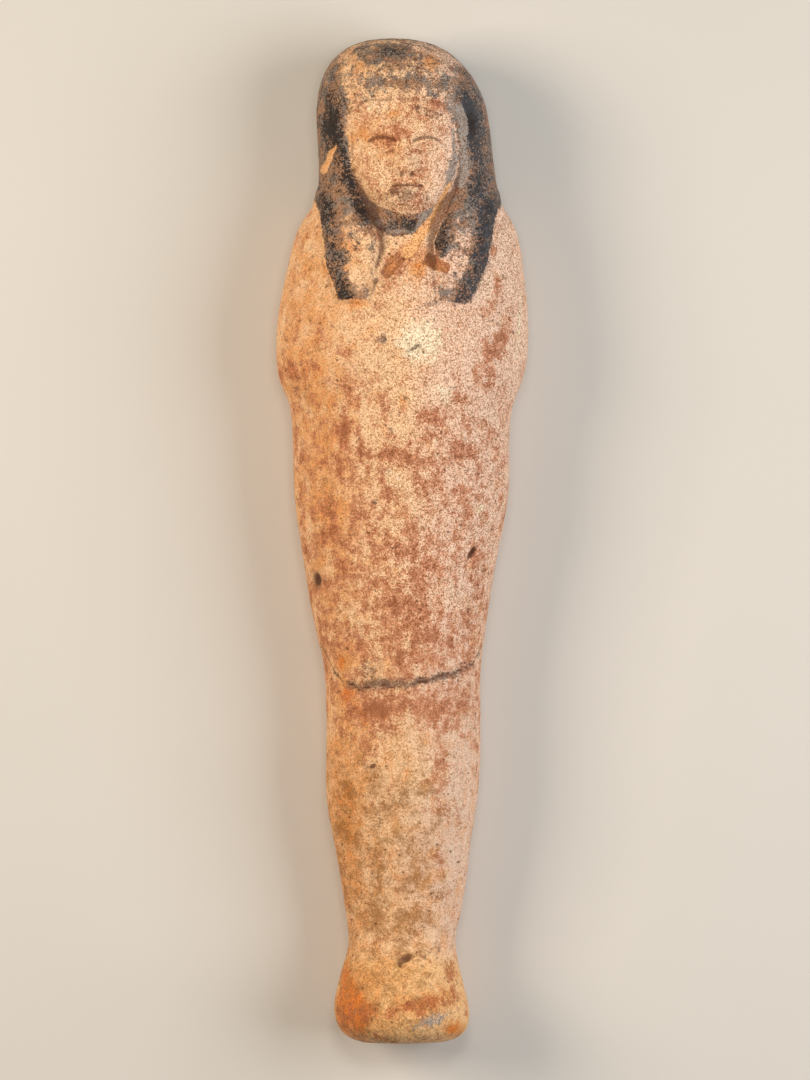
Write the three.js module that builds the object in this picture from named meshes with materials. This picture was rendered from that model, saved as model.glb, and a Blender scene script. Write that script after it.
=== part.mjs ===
// Ushabti figurine: a small mummiform tomb figure of fired clay, one solid piece, lying on its back.
//
// Millimetres. +Z is up out of the chest, +Y runs from the feet to the head, +X is the figure's left.
// The origin is under the middle of its length, on the surface that its back rests on.
// Heights along the figure are measured from the soles, so the soles are at 0 and the crown at LENGTH.
import * as THREE from "three";

const { clamp, lerp, smoothstep } = THREE.MathUtils;

// ---- Driving dimensions ----
const LENGTH = 220;
const SOLE_ROUNDING = 7; // the feet round over to the flat soles within this height
const SOLE_SHARE = 0.67; // half width of the flat sole, as a share of the feet's
const CROWN_START = 198; // the skull domes over from here
const CROWN_POWER = 2.5; // 2 is a round dome, more is squarer
const FRONT_POWER = 2.15; // section of the front, where 2 is an ellipse
const BACK_POWER = 2.5; // and of the flatter back

const HAIR = 1.2; // thickness of the wig over head and chest
const HAIR_EDGE = 1.5; // half the width of the wig's softened edge
const HAIRLINE = 206.5;
const WIG_OPENING = 12.3; // half width of the wig's opening beside the cheeks
const LAPPET_END = 162.3; // the wig's two front lappets end here
const BACK_PANEL_END = 167;

const CHIN = 181.5;
const FACE_THIRD = (HAIRLINE - CHIN) / 3; // hairline to brow, brow to nose, nose to chin
const BROW = HAIRLINE - FACE_THIRD;
const NOSE_BASE = CHIN + FACE_THIRD;
const MOUTH = NOSE_BASE - FACE_THIRD / 3;
const EYE_LINE = BROW - 2.3;
const FACE_WIDEST = 193.5;
const FACE_HALF_WIDTH = 11.7;
const THROAT_DEPTH = 2.6; // how far the throat lies behind the jaw
const JAW_EDGE = 2.0; // half the width of the jaw's rounded edge

const ELBOW = new THREE.Vector2(21, 147.5); // distance from the centre line, and height
const WRIST = new THREE.Vector2(-5, 158); // past the centre line, because the arms are crossed
const ARM_RELIEF = 0.6; // how far the forearms show through the wrapping
const ARM_REACH = 5;

// ---- Profiles: [height above the soles, value] ----
// Half width of the bare body, seen from the front.
const HALF_WIDTH = along([
  [7, 14.9], [14, 13.4], [22, 11.7], // feet and ankles
  [31, 13.1], [44, 15.1], [57, 16.9], [77, 17], // calves and knees
  [97, 19.8], [110, 21.9], [122, 23.7], [134, 23.7], [138, 24], // thighs, hips and waist
  [146, 26.9], [153, 27.7], [160, 27.4], [168, 26.2], [176, 24.6], // elbows and shoulders
  [180.5, 22.6], [184.5, 19.7], [188, 18.3], [CROWN_START, 17.8], // neck and head
]);
// How far the hand-shaped body wanders to its left of the straight centre line.
const SHIFT = along([
  [0, 0.3], [12, -0.3], [22, 0], [33, 0.3], [50, 0], [70, 0.45], [99, -0.5], [120, -0.1],
  [143, -0.2], [152, 0], [184, 1.2], [206, -0.3], [LENGTH, -1.8],
]);
// Front of the body above the ground, along the centre line.
const FRONT = along([
  [6, 32.5], [10, 31], [20, 22.8], [25, 21.5], // insteps and ankles
  [33, 21.9], [60, 26.2], [75, 26.6], [120, 30.2], // legs and belly
  [153, 33], [172, 30.2], [182, 30], [CROWN_START, 31.4], // chest, throat and face
]);
// Back of the body. What would lie under 0 is the flat spot it rests on.
const BACK = along([
  [6, 2.4], [16, 2.2], [26, 3.4], // heels and ankles
  [45, 1.5], [76, 2.2], [97, -0.1], [112, -0.5], [124, -0.2], // calves, knees and seat
  [142, 1.2], [172, 0.8], [184, 1.5], [CROWN_START, 0.9], // waist, shoulders, neck and head
]);
// Height above the ground where the body is widest.
const WIDEST = along([[6, 14], [24, 12.2], [60, 13], [150, 14.6], [CROWN_START, 15.2]]);

// The wig's edges on the chest: half distances from the centre line.
const LAPPET_INNER = along([
  [LAPPET_END, 8.2], [168, 7], [175.5, 6.6], [181.5, 9.4], [190, WIG_OPENING],
]);
const LAPPET_OUTER = along([
  [LAPPET_END, 14.2], [170, 17.4], [181, 19], [185, 20.4], [191, 28],
]);

// The worn face's soft forms, each a swelling on both sides of the centre line:
// [distance from the centre line, height, half width, half height, rise].
const FACE_FORMS = [
  [4.5, BROW, 4.2, 1.6, 0.5], // brows
  [4.9, EYE_LINE, 3, 2, -1], // eye sockets
  [6.6, NOSE_BASE, 3.6, 4, 0.5], // cheeks
  [0, MOUTH, 3.9, 1.5, 0.8], // lips
  [0, CHIN + 2.7, 4.2, 2.4, 0.8], // chin
];
const NOSE = { bridge: 0.4, tip: 2.5, bridgeHalfWidth: 1.3, tipHalfWidth: 2.3 };

// ---- The grid of the surface ----
const COLUMNS = 56; // vertices round each ring
const SOLE_RING = 0.5; // a ring inside the flat sole, as a share of its outline
const CROWN_GRID_START = 208; // from here up, rings are spaced by angle round the dome
const CROWN_RINGS = 7;
const RING_STEPS = [ // from, to, number of steps
  [0, SOLE_ROUNDING, 4], [SOLE_ROUNDING, 25, 7], [25, 139, 23], [139, 161, 9],
  [161, CROWN_GRID_START, 36],
];
// 0 spaces the columns evenly round a ring, nearer 1 draws them towards the front.
const FRONT_CROWDING = along([[120, 0.3], [165, 0.62]]);

/** A smooth, monotone curve through points [at, value], held level beyond its ends. */
function along(points) {
  const slopes = points.slice(1).map(([x, y], i) => (y - points[i][1]) / (x - points[i][0]));
  const tangents = points.map((_, i) => {
    const before = slopes[i - 1] ?? 0;
    const after = slopes[i] ?? 0;
    return before * after > 0 ? (2 * before * after) / (before + after) : 0;
  });
  return (x) => {
    const last = points.length - 1;
    if (x <= points[0][0]) return points[0][1];
    if (x >= points[last][0]) return points[last][1];
    const i = points.findIndex(([at]) => at > x) - 1;
    const step = points[i + 1][0] - points[i][0];
    const t = (x - points[i][0]) / step;
    const rise = (points[i + 1][1] - points[i][1]) * t * t * (3 - 2 * t);
    const leave = tangents[i] * step * t * (1 - t) ** 2;
    const arrive = tangents[i + 1] * step * t ** 2 * (1 - t);
    return points[i][1] + rise + leave - arrive;
  };
}

/** 0 well outside an edge, 1 well inside it, for a signed distance. */
function inside(distance, softness = HAIR_EDGE) {
  return smoothstep(distance, -softness, softness);
}

/** A rounded swelling of the given half width and half height, 1 at its middle. */
function swelling(x, y, halfWidth, halfHeight) {
  return Math.exp(-((x / halfWidth) ** 2) - (y / halfHeight) ** 2);
}

/** Share of the full section left at this height: less than 1 where an end rounds over. */
function endRounding(height) {
  if (height < SOLE_ROUNDING) {
    const t = 1 - height / SOLE_ROUNDING;
    return SOLE_SHARE + (1 - SOLE_SHARE) * Math.sqrt(1 - t * t);
  }
  if (height > CROWN_START) {
    const t = Math.min(1, (height - CROWN_START) / (LENGTH - HAIR - CROWN_START));
    return (1 - t ** CROWN_POWER) ** (1 / CROWN_POWER);
  }
  return 1;
}

/** A point of the bare body, round the section at this height. Angle 0 is the front. */
function bodyPoint(height, angle, share) {
  const rounding = endRounding(height) * share;
  const middle = WIDEST(height);
  const isFront = Math.cos(angle) > 0;
  const power = 2 / (isFront ? FRONT_POWER : BACK_POWER);
  const depth = isFront ? FRONT(height) - middle : middle - BACK(height);
  const across = Math.sign(Math.sin(angle)) * Math.abs(Math.sin(angle)) ** power;
  const up = Math.sign(Math.cos(angle)) * Math.abs(Math.cos(angle)) ** power;
  return new THREE.Vector3(
    SHIFT(height) + HALF_WIDTH(height) * rounding * across,
    height - LENGTH / 2,
    middle + depth * rounding * up,
  );
}

/** Distance outwards from the edge of the wig's opening round the face and throat. */
function beyondOpening(x, height) {
  const above = height - CROWN_START;
  if (above <= 0) return Math.abs(x) - LAPPET_INNER(height);
  const rise = HAIRLINE - CROWN_START;
  const reach = ((Math.abs(x) / WIG_OPENING) ** 4 + (above / rise) ** 4) ** (1 / 4);
  return (reach - 1) * rise;
}

/** How much of the wig covers this spot, from 0 to 1. */
function wigCover(x, height, isFront) {
  const withinOuter = inside(LAPPET_OUTER(height) - Math.abs(x));
  if (!isFront) return withinOuter * inside(height - BACK_PANEL_END);
  const aboveEnd = inside(height - LAPPET_END);
  return withinOuter * aboveEnd * inside(beyondOpening(x, height));
}

/** Distance outwards from the line of the jaw, measured from the middle of the face. */
function beyondJaw(x, height) {
  const drop = Math.max(0, FACE_WIDEST - height);
  const reach = Math.hypot(x / FACE_HALF_WIDTH, drop / (FACE_WIDEST - CHIN));
  return (reach - 1) * FACE_HALF_WIDTH;
}

/** Depth of the hollow between jaw and wig, and under the chin, fading out down the chest. */
function throat(x, height) {
  const below = smoothstep(FACE_WIDEST - height, 0, FACE_WIDEST - CHIN);
  const aboveChest = smoothstep(height, LAPPET_END + 4, CHIN - 3);
  const inOpening = inside(LAPPET_INNER(height) - Math.abs(x));
  return THROAT_DEPTH * below * aboveChest * inside(beyondJaw(x, height), JAW_EDGE) * inOpening;
}

/** The nose, widening and rising from the brow to its tip. */
function nose(x, height) {
  const down = clamp((BROW - height) / (BROW - NOSE_BASE), 0, 1);
  const halfWidth = lerp(NOSE.bridgeHalfWidth, NOSE.tipHalfWidth, down);
  const ends = inside(height - NOSE_BASE, 0.9) * inside(BROW + 1.5 - height, 2.5);
  return lerp(NOSE.bridge, NOSE.tip, down ** 1.3) * ends * Math.exp(-((x / halfWidth) ** 2));
}

/** The worn face in low relief. */
function face(x, height) {
  const forms = FACE_FORMS.map(([aside, middle, halfWidth, halfHeight, rise]) =>
    rise * swelling(Math.abs(x) - aside, height - middle, halfWidth, halfHeight),
  );
  return forms.reduce((sum, form) => sum + form, nose(x, height));
}

/** The forearms, crossed under the wrapping: soft ridges from each elbow over the middle. */
function arms(x, height) {
  const arm = WRIST.clone().sub(ELBOW);
  const ridges = [-1, 1].map((side) => {
    const spot = new THREE.Vector2(x * side, height).sub(ELBOW);
    const along = clamp(spot.dot(arm) / arm.lengthSq(), 0, 1);
    return Math.exp(-((spot.addScaledVector(arm, -along).length() / ARM_REACH) ** 2));
  });
  return ARM_RELIEF * Math.max(...ridges);
}

/** How far the surface stands out from the bare body at one of its points. */
function relief(point) {
  const height = point.y + LENGTH / 2;
  const x = point.x - SHIFT(height);
  const isFront = point.z > WIDEST(height);
  const wig = HAIR * wigCover(x, height, isFront);
  if (!isFront) return wig;
  const bareFace = inside(height - CHIN, HAIR_EDGE) * (1 - inside(beyondOpening(x, height)));
  return wig + bareFace * face(x, height) + arms(x, height) - throat(x, height);
}

/** Heights of the grid's rings, from the soles to just under the crown. */
function ringHeights() {
  const heights = RING_STEPS.flatMap(([from, to, steps]) =>
    Array.from({ length: steps }, (_, i) => lerp(from, to, i / steps)),
  );
  const dome = LENGTH - HAIR - CROWN_START;
  const start = Math.asin(((CROWN_GRID_START - CROWN_START) / dome) ** (CROWN_POWER / 2));
  for (let i = 0; i < CROWN_RINGS; i++) {
    const angle = lerp(start, Math.PI / 2, i / CROWN_RINGS);
    heights.push(CROWN_START + dome * Math.sin(angle) ** (2 / CROWN_POWER));
  }
  return heights;
}

/** The closed grid of the bare body: the sole, rings from feet to head, and the crown. */
function bareBody() {
  const rings = [[0, SOLE_RING], ...ringHeights().map((height) => [height, 1])];
  const points = [new THREE.Vector3(SHIFT(0), -LENGTH / 2, WIDEST(0))];
  for (const [height, share] of rings) {
    for (let i = 0; i < COLUMNS; i++) {
      const turn = (2 * Math.PI * i) / COLUMNS;
      points.push(bodyPoint(height, turn - FRONT_CROWDING(height) * Math.sin(turn), share));
    }
  }
  const top = LENGTH - HAIR;
  points.push(new THREE.Vector3(SHIFT(top), top - LENGTH / 2, WIDEST(top)));

  const last = rings.length - 1;
  const corner = (ring, column) => 1 + ring * COLUMNS + (column % COLUMNS);
  const triangles = [];
  for (let i = 0; i < COLUMNS; i++) {
    triangles.push(0, corner(0, i + 1), corner(0, i));
    for (let ring = 0; ring < last; ring++) {
      const [a, b] = [corner(ring, i), corner(ring, i + 1)];
      const [c, d] = [corner(ring + 1, i), corner(ring + 1, i + 1)];
      // The diagonals mirror each other, so both sides of the face come out alike.
      if (i < COLUMNS / 2) triangles.push(a, b, d, a, d, c);
      else triangles.push(a, b, c, b, d, c);
    }
    triangles.push(corner(last, i), corner(last, i + 1), points.length - 1);
  }
  const geometry = new THREE.BufferGeometry().setFromPoints(points);
  geometry.setIndex(triangles);
  geometry.computeVertexNormals();
  return geometry;
}

/** The figure: the bare body with its relief raised along its normals, and the back set flat. */
function figurine() {
  const geometry = bareBody();
  const { position, normal } = geometry.attributes;
  const point = new THREE.Vector3();
  const outwards = new THREE.Vector3();
  for (let i = 0; i < position.count; i++) {
    point.fromBufferAttribute(position, i);
    outwards.fromBufferAttribute(normal, i);
    point.addScaledVector(outwards, relief(point));
    position.setXYZ(i, point.x, point.y, Math.max(0, point.z));
  }
  geometry.computeVertexNormals();
  const paintedClay = new THREE.MeshStandardMaterial({ color: 0xd8a67c, roughness: 0.8, metalness: 0 });
  const mesh = new THREE.Mesh(geometry, paintedClay);
  mesh.name = "figurine";
  return mesh;
}

const ushabti = new THREE.Group();
ushabti.add(figurine());
export default ushabti;
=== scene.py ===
"""Looks of the ushabti figurine: worn slip and paint on fired clay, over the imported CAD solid.

Lengths are in millimetres until a mesh is made, and positions are named as the CAD part names them:
x is the distance to the figure's left of the middle, and height is measured from the soles.
"""

import math

import bmesh
import bpy
import numpy as np
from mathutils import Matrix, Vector, noise
from mathutils.bvhtree import BVHTree


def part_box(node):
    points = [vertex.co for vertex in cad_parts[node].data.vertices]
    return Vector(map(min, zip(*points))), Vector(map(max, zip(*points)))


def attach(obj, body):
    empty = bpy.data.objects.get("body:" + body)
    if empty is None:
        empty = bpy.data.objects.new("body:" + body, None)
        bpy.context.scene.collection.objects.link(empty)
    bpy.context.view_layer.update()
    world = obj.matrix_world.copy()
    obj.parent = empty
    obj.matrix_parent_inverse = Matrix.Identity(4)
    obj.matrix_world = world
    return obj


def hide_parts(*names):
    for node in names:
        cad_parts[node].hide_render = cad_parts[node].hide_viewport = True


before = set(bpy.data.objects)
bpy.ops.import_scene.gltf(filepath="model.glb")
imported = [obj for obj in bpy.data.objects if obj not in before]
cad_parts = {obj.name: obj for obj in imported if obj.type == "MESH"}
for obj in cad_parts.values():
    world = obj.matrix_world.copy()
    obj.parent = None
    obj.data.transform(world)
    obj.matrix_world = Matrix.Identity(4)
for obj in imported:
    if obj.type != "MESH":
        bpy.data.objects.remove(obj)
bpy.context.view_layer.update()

MM = 0.001
LOW, HIGH = (np.array(corner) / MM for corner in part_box("figurine"))
LENGTH = HIGH[1] - LOW[1]
THICKNESS = HIGH[2] - LOW[2]
AXIS_HEIGHT = 0.45 * THICKNESS  # the line inside the body that the fine surface is laid round

# ---- The fine surface's grid ----
COLUMNS = 224  # points round each ring
FRONT_CROWDING = 0.22  # 0 spaces them evenly, more draws them towards the front
SECTION_RATIO = 1.4  # the body's width over its thickness, which evens out their spacing
FEET_CENTRE = 14  # from here the rays fan out over the soles
HEAD_CENTRE = 196  # and from here over the crown
BODY_STEP = 0.62  # between the rings of the body
HEAD_START = 158  # the rings lie closer from here up
HEAD_STEP = 0.42
SOLE_RINGS = 40
CROWN_RINGS = 62
HOLLOW_ROUNDS = 12  # times the grid is averaged before its hollows are measured

# ---- Places on the figure ----
CROWN_START = 198
HAIRLINE = 206.5
WIG_OPENING = 12.3
LAPPET_END = 162.3
BACK_PANEL_END = 167
BORDER_TOP = 188  # the dark border of the lappets starts here and runs down
# The wig's inner and outer edges in front: (height, distance from the middle).
LAPPET_INNER = [(LAPPET_END, 8), (168, 6.8), (175.5, 6.1), (181.5, 9), (190, WIG_OPENING)]
LAPPET_OUTER = [(LAPPET_END, 14.2), (170, 17.4), (181, 19), (185, 20.4), (191, 28)]
CHIN = 181.5
FACE_THIRD = (HAIRLINE - CHIN) / 3
BROW = HAIRLINE - FACE_THIRD
NOSE_BASE = CHIN + FACE_THIRD
MOUTH = NOSE_BASE - FACE_THIRD / 3
EYE_LINE = BROW - 2.3
EYE_SIDE = 4.9
CHEEKS = 194  # the face is widest here
SHARE_TO_MM = 9  # turns a share of the face's oval into about as many millimetres
FEATURE_STRENGTH = 1.5  # how boldly the eyes, nose and mouth stand out
# Lower edge of the dark neck, which is paint and, under the chin, partly painted shade: (x, height).
NECK_BOTTOM = [(-9, 179.6), (-6.8, 178.4), (-3, 176.7), (0, 175.8), (2.5, 176.6), (4.5, 178), (10.5, 187)]

# The old break across the shins: (x, height) over the front, then over the back.
BREAK_FRONT = [(-17.5, 86.3), (-15.1, 81.4), (-12.5, 78.7), (-9.2, 77.6), (-3.7, 78.2), (0.7, 78.2),
               (5, 79.1), (9.4, 80.6), (13.8, 81.9), (16, 83.4), (17.4, 86)]
BREAK_BACK = [(-17.5, 86.3), (-12, 83.6), (-4, 82), (4, 83.1), (11, 82.4), (17.4, 86)]
BREAK_DEPTH = 0.4
BREAK_HALF_WIDTH = 0.32
STEP_BELOW_BREAK = 0.14  # the shins stand this much lower just under the break
OUTSIDE = -9  # stands for a place well outside an edge


# ---- Small helpers on arrays ----
def smoothstep(value, low, high):
    """0 at low and before it, 1 at high and past it, with a smooth ramp between."""
    t = np.clip((value - low) / (high - low), 0, 1)
    return t * t * (3 - 2 * t)


def profile(points, at):
    """The value of a line through (place, value) points, at other places."""
    places, values = zip(*points)
    return np.interp(at, places, values)


def ridge(distance, half_width):
    """1 on a line, falling softly to 0 on both sides of it."""
    return np.exp(-((distance / half_width) ** 2))


def swelling(across, along, half_width, half_height):
    """1 in the middle of an oval, falling softly to 0 all round it."""
    return np.exp(-((across / half_width) ** 2) - (along / half_height) ** 2)


def turned(dx, dh, turn):
    """Distances across and along a place that is turned by that many degrees."""
    angle = math.radians(turn)
    return dx * math.cos(angle) + dh * math.sin(angle), dh * math.cos(angle) - dx * math.sin(angle)


def spot(x, height, place):
    """1 in the middle of a soft oval place, 0 well outside it: x, height, half sizes, turn."""
    middle_x, middle_height, half_width, half_height, turn = place
    across, along = turned(x - middle_x, height - middle_height, turn)
    return swelling(across, along, half_width, half_height)


def stroke_distance(x, height, points):
    """Distance from a line through points, and how far along it each spot is, from 0 to 1."""
    best = np.full(x.shape, np.inf)
    share = np.zeros(x.shape)
    count = len(points) - 1
    for i, ((x0, h0), (x1, h1)) in enumerate(zip(points, points[1:])):
        dx, dh = x1 - x0, h1 - h0
        t = np.clip(((x - x0) * dx + (height - h0) * dh) / (dx * dx + dh * dh), 0, 1)
        distance = np.hypot(x - x0 - t * dx, height - h0 - t * dh)
        nearer = distance < best
        best = np.where(nearer, distance, best)
        share = np.where(nearer, (i + t) / count, share)
    return best, share


def lumps(points, size, octaves, seed):
    """Smooth noise of about -1 to 1 whose largest lumps are about that size."""
    offset = Vector((seed * 17.3, seed * 5.1, seed * 9.7))
    values = [noise.fractal(Vector(p) / size + offset, 0.8, 2.0, octaves) for p in points.reshape(-1, 3)]
    return np.array(values).reshape(points.shape[:-1])


# ---- The fine surface ----
def smoothed_solid():
    """The CAD solid with its facets rounded, as a tree for rays."""
    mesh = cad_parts["figurine"].data.copy()
    work = bmesh.new()
    work.from_mesh(mesh)
    bmesh.ops.remove_doubles(work, verts=work.verts, dist=2e-6)
    steepest = math.radians(70)
    bmesh.ops.join_triangles(
        work, faces=work.faces, angle_face_threshold=steepest, angle_shape_threshold=steepest
    )
    work.to_mesh(mesh)
    work.free()
    solid = bpy.data.objects.new("smoothed_solid", mesh)
    bpy.context.scene.collection.objects.link(solid)
    solid.modifiers.new("rounded", "SUBSURF").levels = 2
    rounded = solid.evaluated_get(bpy.context.evaluated_depsgraph_get()).to_mesh()
    points = [v.co / MM for v in rounded.vertices]
    tree = BVHTree.FromPolygons(points, [p.vertices[:] for p in rounded.polygons])
    bpy.data.objects.remove(solid)
    bpy.data.meshes.remove(mesh)
    return tree


def ring_plan():
    """For each ring of the fine surface, the height its rays start from and their tilt to the head."""
    quarter = math.pi / 2
    soles = [(FEET_CENTRE, -quarter * (1 - (i + 0.5) / SOLE_RINGS)) for i in range(SOLE_RINGS)]
    body = [(h, 0) for h in np.arange(FEET_CENTRE, HEAD_START, BODY_STEP)]
    head = [(h, 0) for h in np.arange(HEAD_START, HEAD_CENTRE, HEAD_STEP)]
    crown = [(HEAD_CENTRE, quarter * i / CROWN_RINGS) for i in range(CROWN_RINGS)]
    return soles + body + head + crown


def lay_surface(tree):
    """Points of the fine surface, [ring, column, xyz], and the two poles that close it."""
    def hit(height, tilt, across, up):
        start = Vector((0, height + LOW[1], AXIS_HEIGHT))
        flat = math.cos(tilt)
        direction = Vector((across * flat, math.sin(tilt), up * flat))
        return tree.ray_cast(start, direction)[0]

    columns = []
    for i in range(COLUMNS):
        turn = 2 * math.pi * i / COLUMNS
        turn -= FRONT_CROWDING * math.sin(turn)
        across, up = SECTION_RATIO * math.sin(turn), math.cos(turn)
        length = math.hypot(across, up)
        columns.append((across / length, up / length))
    rings = [[hit(height, tilt, *column) for column in columns] for height, tilt in ring_plan()]
    poles = [hit(FEET_CENTRE, -math.pi / 2, 0, 0), hit(HEAD_CENTRE, math.pi / 2, 0, 0)]
    return np.array(rings), np.array(poles)


def normals_of(rings):
    """Outward unit normals of the grid of points."""
    along = np.gradient(rings, axis=0)
    around = np.roll(rings, -1, axis=1) - np.roll(rings, 1, axis=1)
    normals = np.cross(around, along)
    normals /= np.linalg.norm(normals, axis=2, keepdims=True)
    outwards = rings - [0, 0, AXIS_HEIGHT]
    outwards[..., 1] = 0
    sign = np.sign((normals * outwards).sum(axis=2).mean())
    return normals * sign


class Surface:
    """The fine surface's points with the measures that the relief and the paint are placed by."""

    def __init__(self, tree):
        self.rings, self.poles = lay_surface(tree)
        self.normals = normals_of(self.rings)
        self.x = self.rings[..., 0]
        self.height = self.rings[..., 1] - LOW[1]
        self.front = smoothstep(self.normals[..., 2], 0.0, 0.3)
        self.back = 1 - self.front
        middle = (self.x.min(axis=1) + self.x.max(axis=1)) / 2
        self.from_middle = self.x - middle[:, None]
        self.side = np.abs(self.from_middle)
        self.upper_half = self.rings[..., 2] > AXIS_HEIGHT
        self.opening = self.inside_opening()
        self.wig = self.inside_wig()
        self.neck_paint_and_shade = self.inside_neck()
        self.from_break = self.distance_from_break()

    def inside_opening(self):
        """How far each spot lies inside the wig's opening round face and throat."""
        inner = profile(LAPPET_INNER, self.height) - self.side
        rise = HAIRLINE - CROWN_START
        above = np.maximum(0, self.height - CROWN_START) / rise
        top = (1 - ((self.side / WIG_OPENING) ** 4 + above**4) ** 0.25) * rise
        return np.where(self.height > CROWN_START, top, inner)

    def inside_wig(self):
        """How far each spot lies inside the edge of the wig: less than 0 outside it."""
        outer = profile(LAPPET_OUTER, self.height) - self.side
        front = np.minimum(np.minimum(outer, self.height - LAPPET_END), -self.opening)
        back = np.minimum(outer, self.height - BACK_PANEL_END)
        return np.where(self.upper_half, front, back)

    def inside_neck(self):
        """How far each spot lies inside the dark neck, between the face's oval and the wig: paint, and
        partly painted shade under the chin and beside the jaw.
        """
        below_cheeks = np.maximum(0, CHEEKS - self.height) / (CHEEKS - CHIN + 0.6)
        outside_face = SHARE_TO_MM * (np.hypot(self.side / WIG_OPENING, below_cheeks) - 1)
        above_chest = self.height - profile(NECK_BOTTOM, self.x)
        depth = np.minimum(np.minimum(outside_face, above_chest), self.opening + 1)
        return np.where(self.upper_half, depth, OUTSIDE)

    def spots(self, places):
        """The sum of soft places on the front: each is x, height, half sizes, turn, strength."""
        total = sum(place[5] * spot(self.x, self.height, place[:5]) for place in places)
        return total * self.front

    def distance_from_break(self):
        """Distance above the old break, which runs right round the shins: less than 0 below it."""
        wander = 0.45 * lumps(self.rings, 2.5, 3, seed=4)
        front = self.height - profile(BREAK_FRONT, self.x)
        back = self.height - profile(BREAK_BACK, self.x)
        return np.where(self.upper_half, front, back) + wander


# ---- Relief: millimetres outwards ----
def hand_modelling(surface):
    """Uneven, finger-smoothed clay: broad waves, finger marks and a coarse skin."""
    waves = 0.16 * lumps(surface.rings, 16, 2, seed=1)
    marks = 0.07 * lumps(surface.rings, 4.5, 2, seed=2)
    skin = 0.06 * lumps(surface.rings, 1.6, 3, seed=3)
    return waves + marks + skin


def eyes(x, height):
    """Worn almond eyes between two lids, under low brows."""
    side = np.abs(x) - EYE_SIDE
    above = height - EYE_LINE
    lid_line = 0.9 - 0.11 * side**2
    ball = 0.55 * swelling(side, above, 2.3, 1.15)
    length = smoothstep(3.5 - np.abs(side), 0, 0.9)
    upper = 0.34 * ridge(above - lid_line, 0.36) - 0.3 * ridge(above - lid_line - 0.75, 0.4)
    lower = 0.26 * ridge(above + 0.9 * lid_line, 0.36) - 0.16 * ridge(above + 0.55 * lid_line, 0.3)
    brow = 0.25 * ridge(above - 3.1 + 0.06 * side**2, 0.6) * smoothstep(5.2 - np.abs(side), 0, 2)
    return ball + length * (upper + lower) + brow


def nose_and_mouth(x, height):
    """Wings and nostrils under the CAD nose, and the closed lips."""
    side = np.abs(x)
    wings = 0.38 * swelling(side - 2.0, height - NOSE_BASE - 0.9, 0.75, 0.95)
    nostrils = -0.4 * swelling(side - 1.1, height - NOSE_BASE + 0.35, 0.5, 0.45)
    bow = MOUTH + 0.1 - 0.02 * side**2
    parting = -0.42 * ridge(height - bow, 0.34) * smoothstep(4.1 - side, 0, 1.3)
    upper_lip = 0.25 * ridge(height - bow - 0.85, 0.55) * smoothstep(3.8 - side, 0, 2)
    lower_lip = 0.32 * ridge(height - bow + 0.95, 0.6) * smoothstep(3.2 - side, 0, 2)
    under_lip = -0.25 * swelling(x, height - bow + 2.3, 2.4, 0.7)
    return wings + nostrils + parting + (upper_lip + lower_lip) + under_lip


def face(surface):
    """The features inside the wig's opening, from the chin up."""
    inside = smoothstep(surface.opening, 0.2, 1.6) * surface.front
    above_chin = smoothstep(surface.height, CHIN - 1, CHIN + 1.5)
    x, height = surface.from_middle, surface.height
    return FEATURE_STRENGTH * inside * above_chin * (eyes(x, height) + nose_and_mouth(x, height))


def wig_edge(surface):
    """A rounded lip along the wig's edge with a crease at its foot, fading out round the sides."""
    wig = surface.wig + 0.35 * lumps(surface.rings, 3, 2, seed=5)
    lip = 0.16 * ridge(wig - 1.1, 0.9)
    crease = 0.26 * ridge(wig + 0.7, 0.65)
    return (lip - crease) * smoothstep(np.abs(surface.normals[..., 2]), 0.25, 0.7)


def hollows(points, normals):
    """How far each spot lies below what is round it, which the material darkens as painted shade."""
    around = points
    for _ in range(HOLLOW_ROUNDS):
        along = np.pad(around, [(1, 1), (0, 0), (0, 0)], mode="edge")
        sides = np.roll(around, 1, axis=1) + np.roll(around, -1, axis=1)
        around = (around + along[:-2] + along[2:] + sides) / 5
    return ((around - points) * normals).sum(axis=2)


# Strips where the paint has flaked off: the line of each, half widths at its ends, and depth.
STRIPS = {
    "streak": ([(10.8, 187.8), (6.7, 180.4), (3.6, 175.8), (1.4, 173)], 0.45, 1.7, 0.35),
    "chip": ([(-14.3, 196.0), (-15.6, 194.4), (-17.1, 190.8)], 0.35, 1.0, 0.5),
}
# Patches where the slip has flaked off to the clay: x, height, half sizes, turn, depth.
PATCHES = {
    "flake": (-2.1, 169.8, 1.4, 3.2, -40, 0.45),
    "ochre": (7.7, 170, 3.1, 1.4, -27, 0.3),
}
WIG_CRACK = [(-15.3, 212), (-14.2, 209), (-12.8, 206.4), (-11.6, 203)]
WIG_CRACK_DEPTH = 0.35
WIG_CRACK_HALF_WIDTH = 0.3
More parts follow.
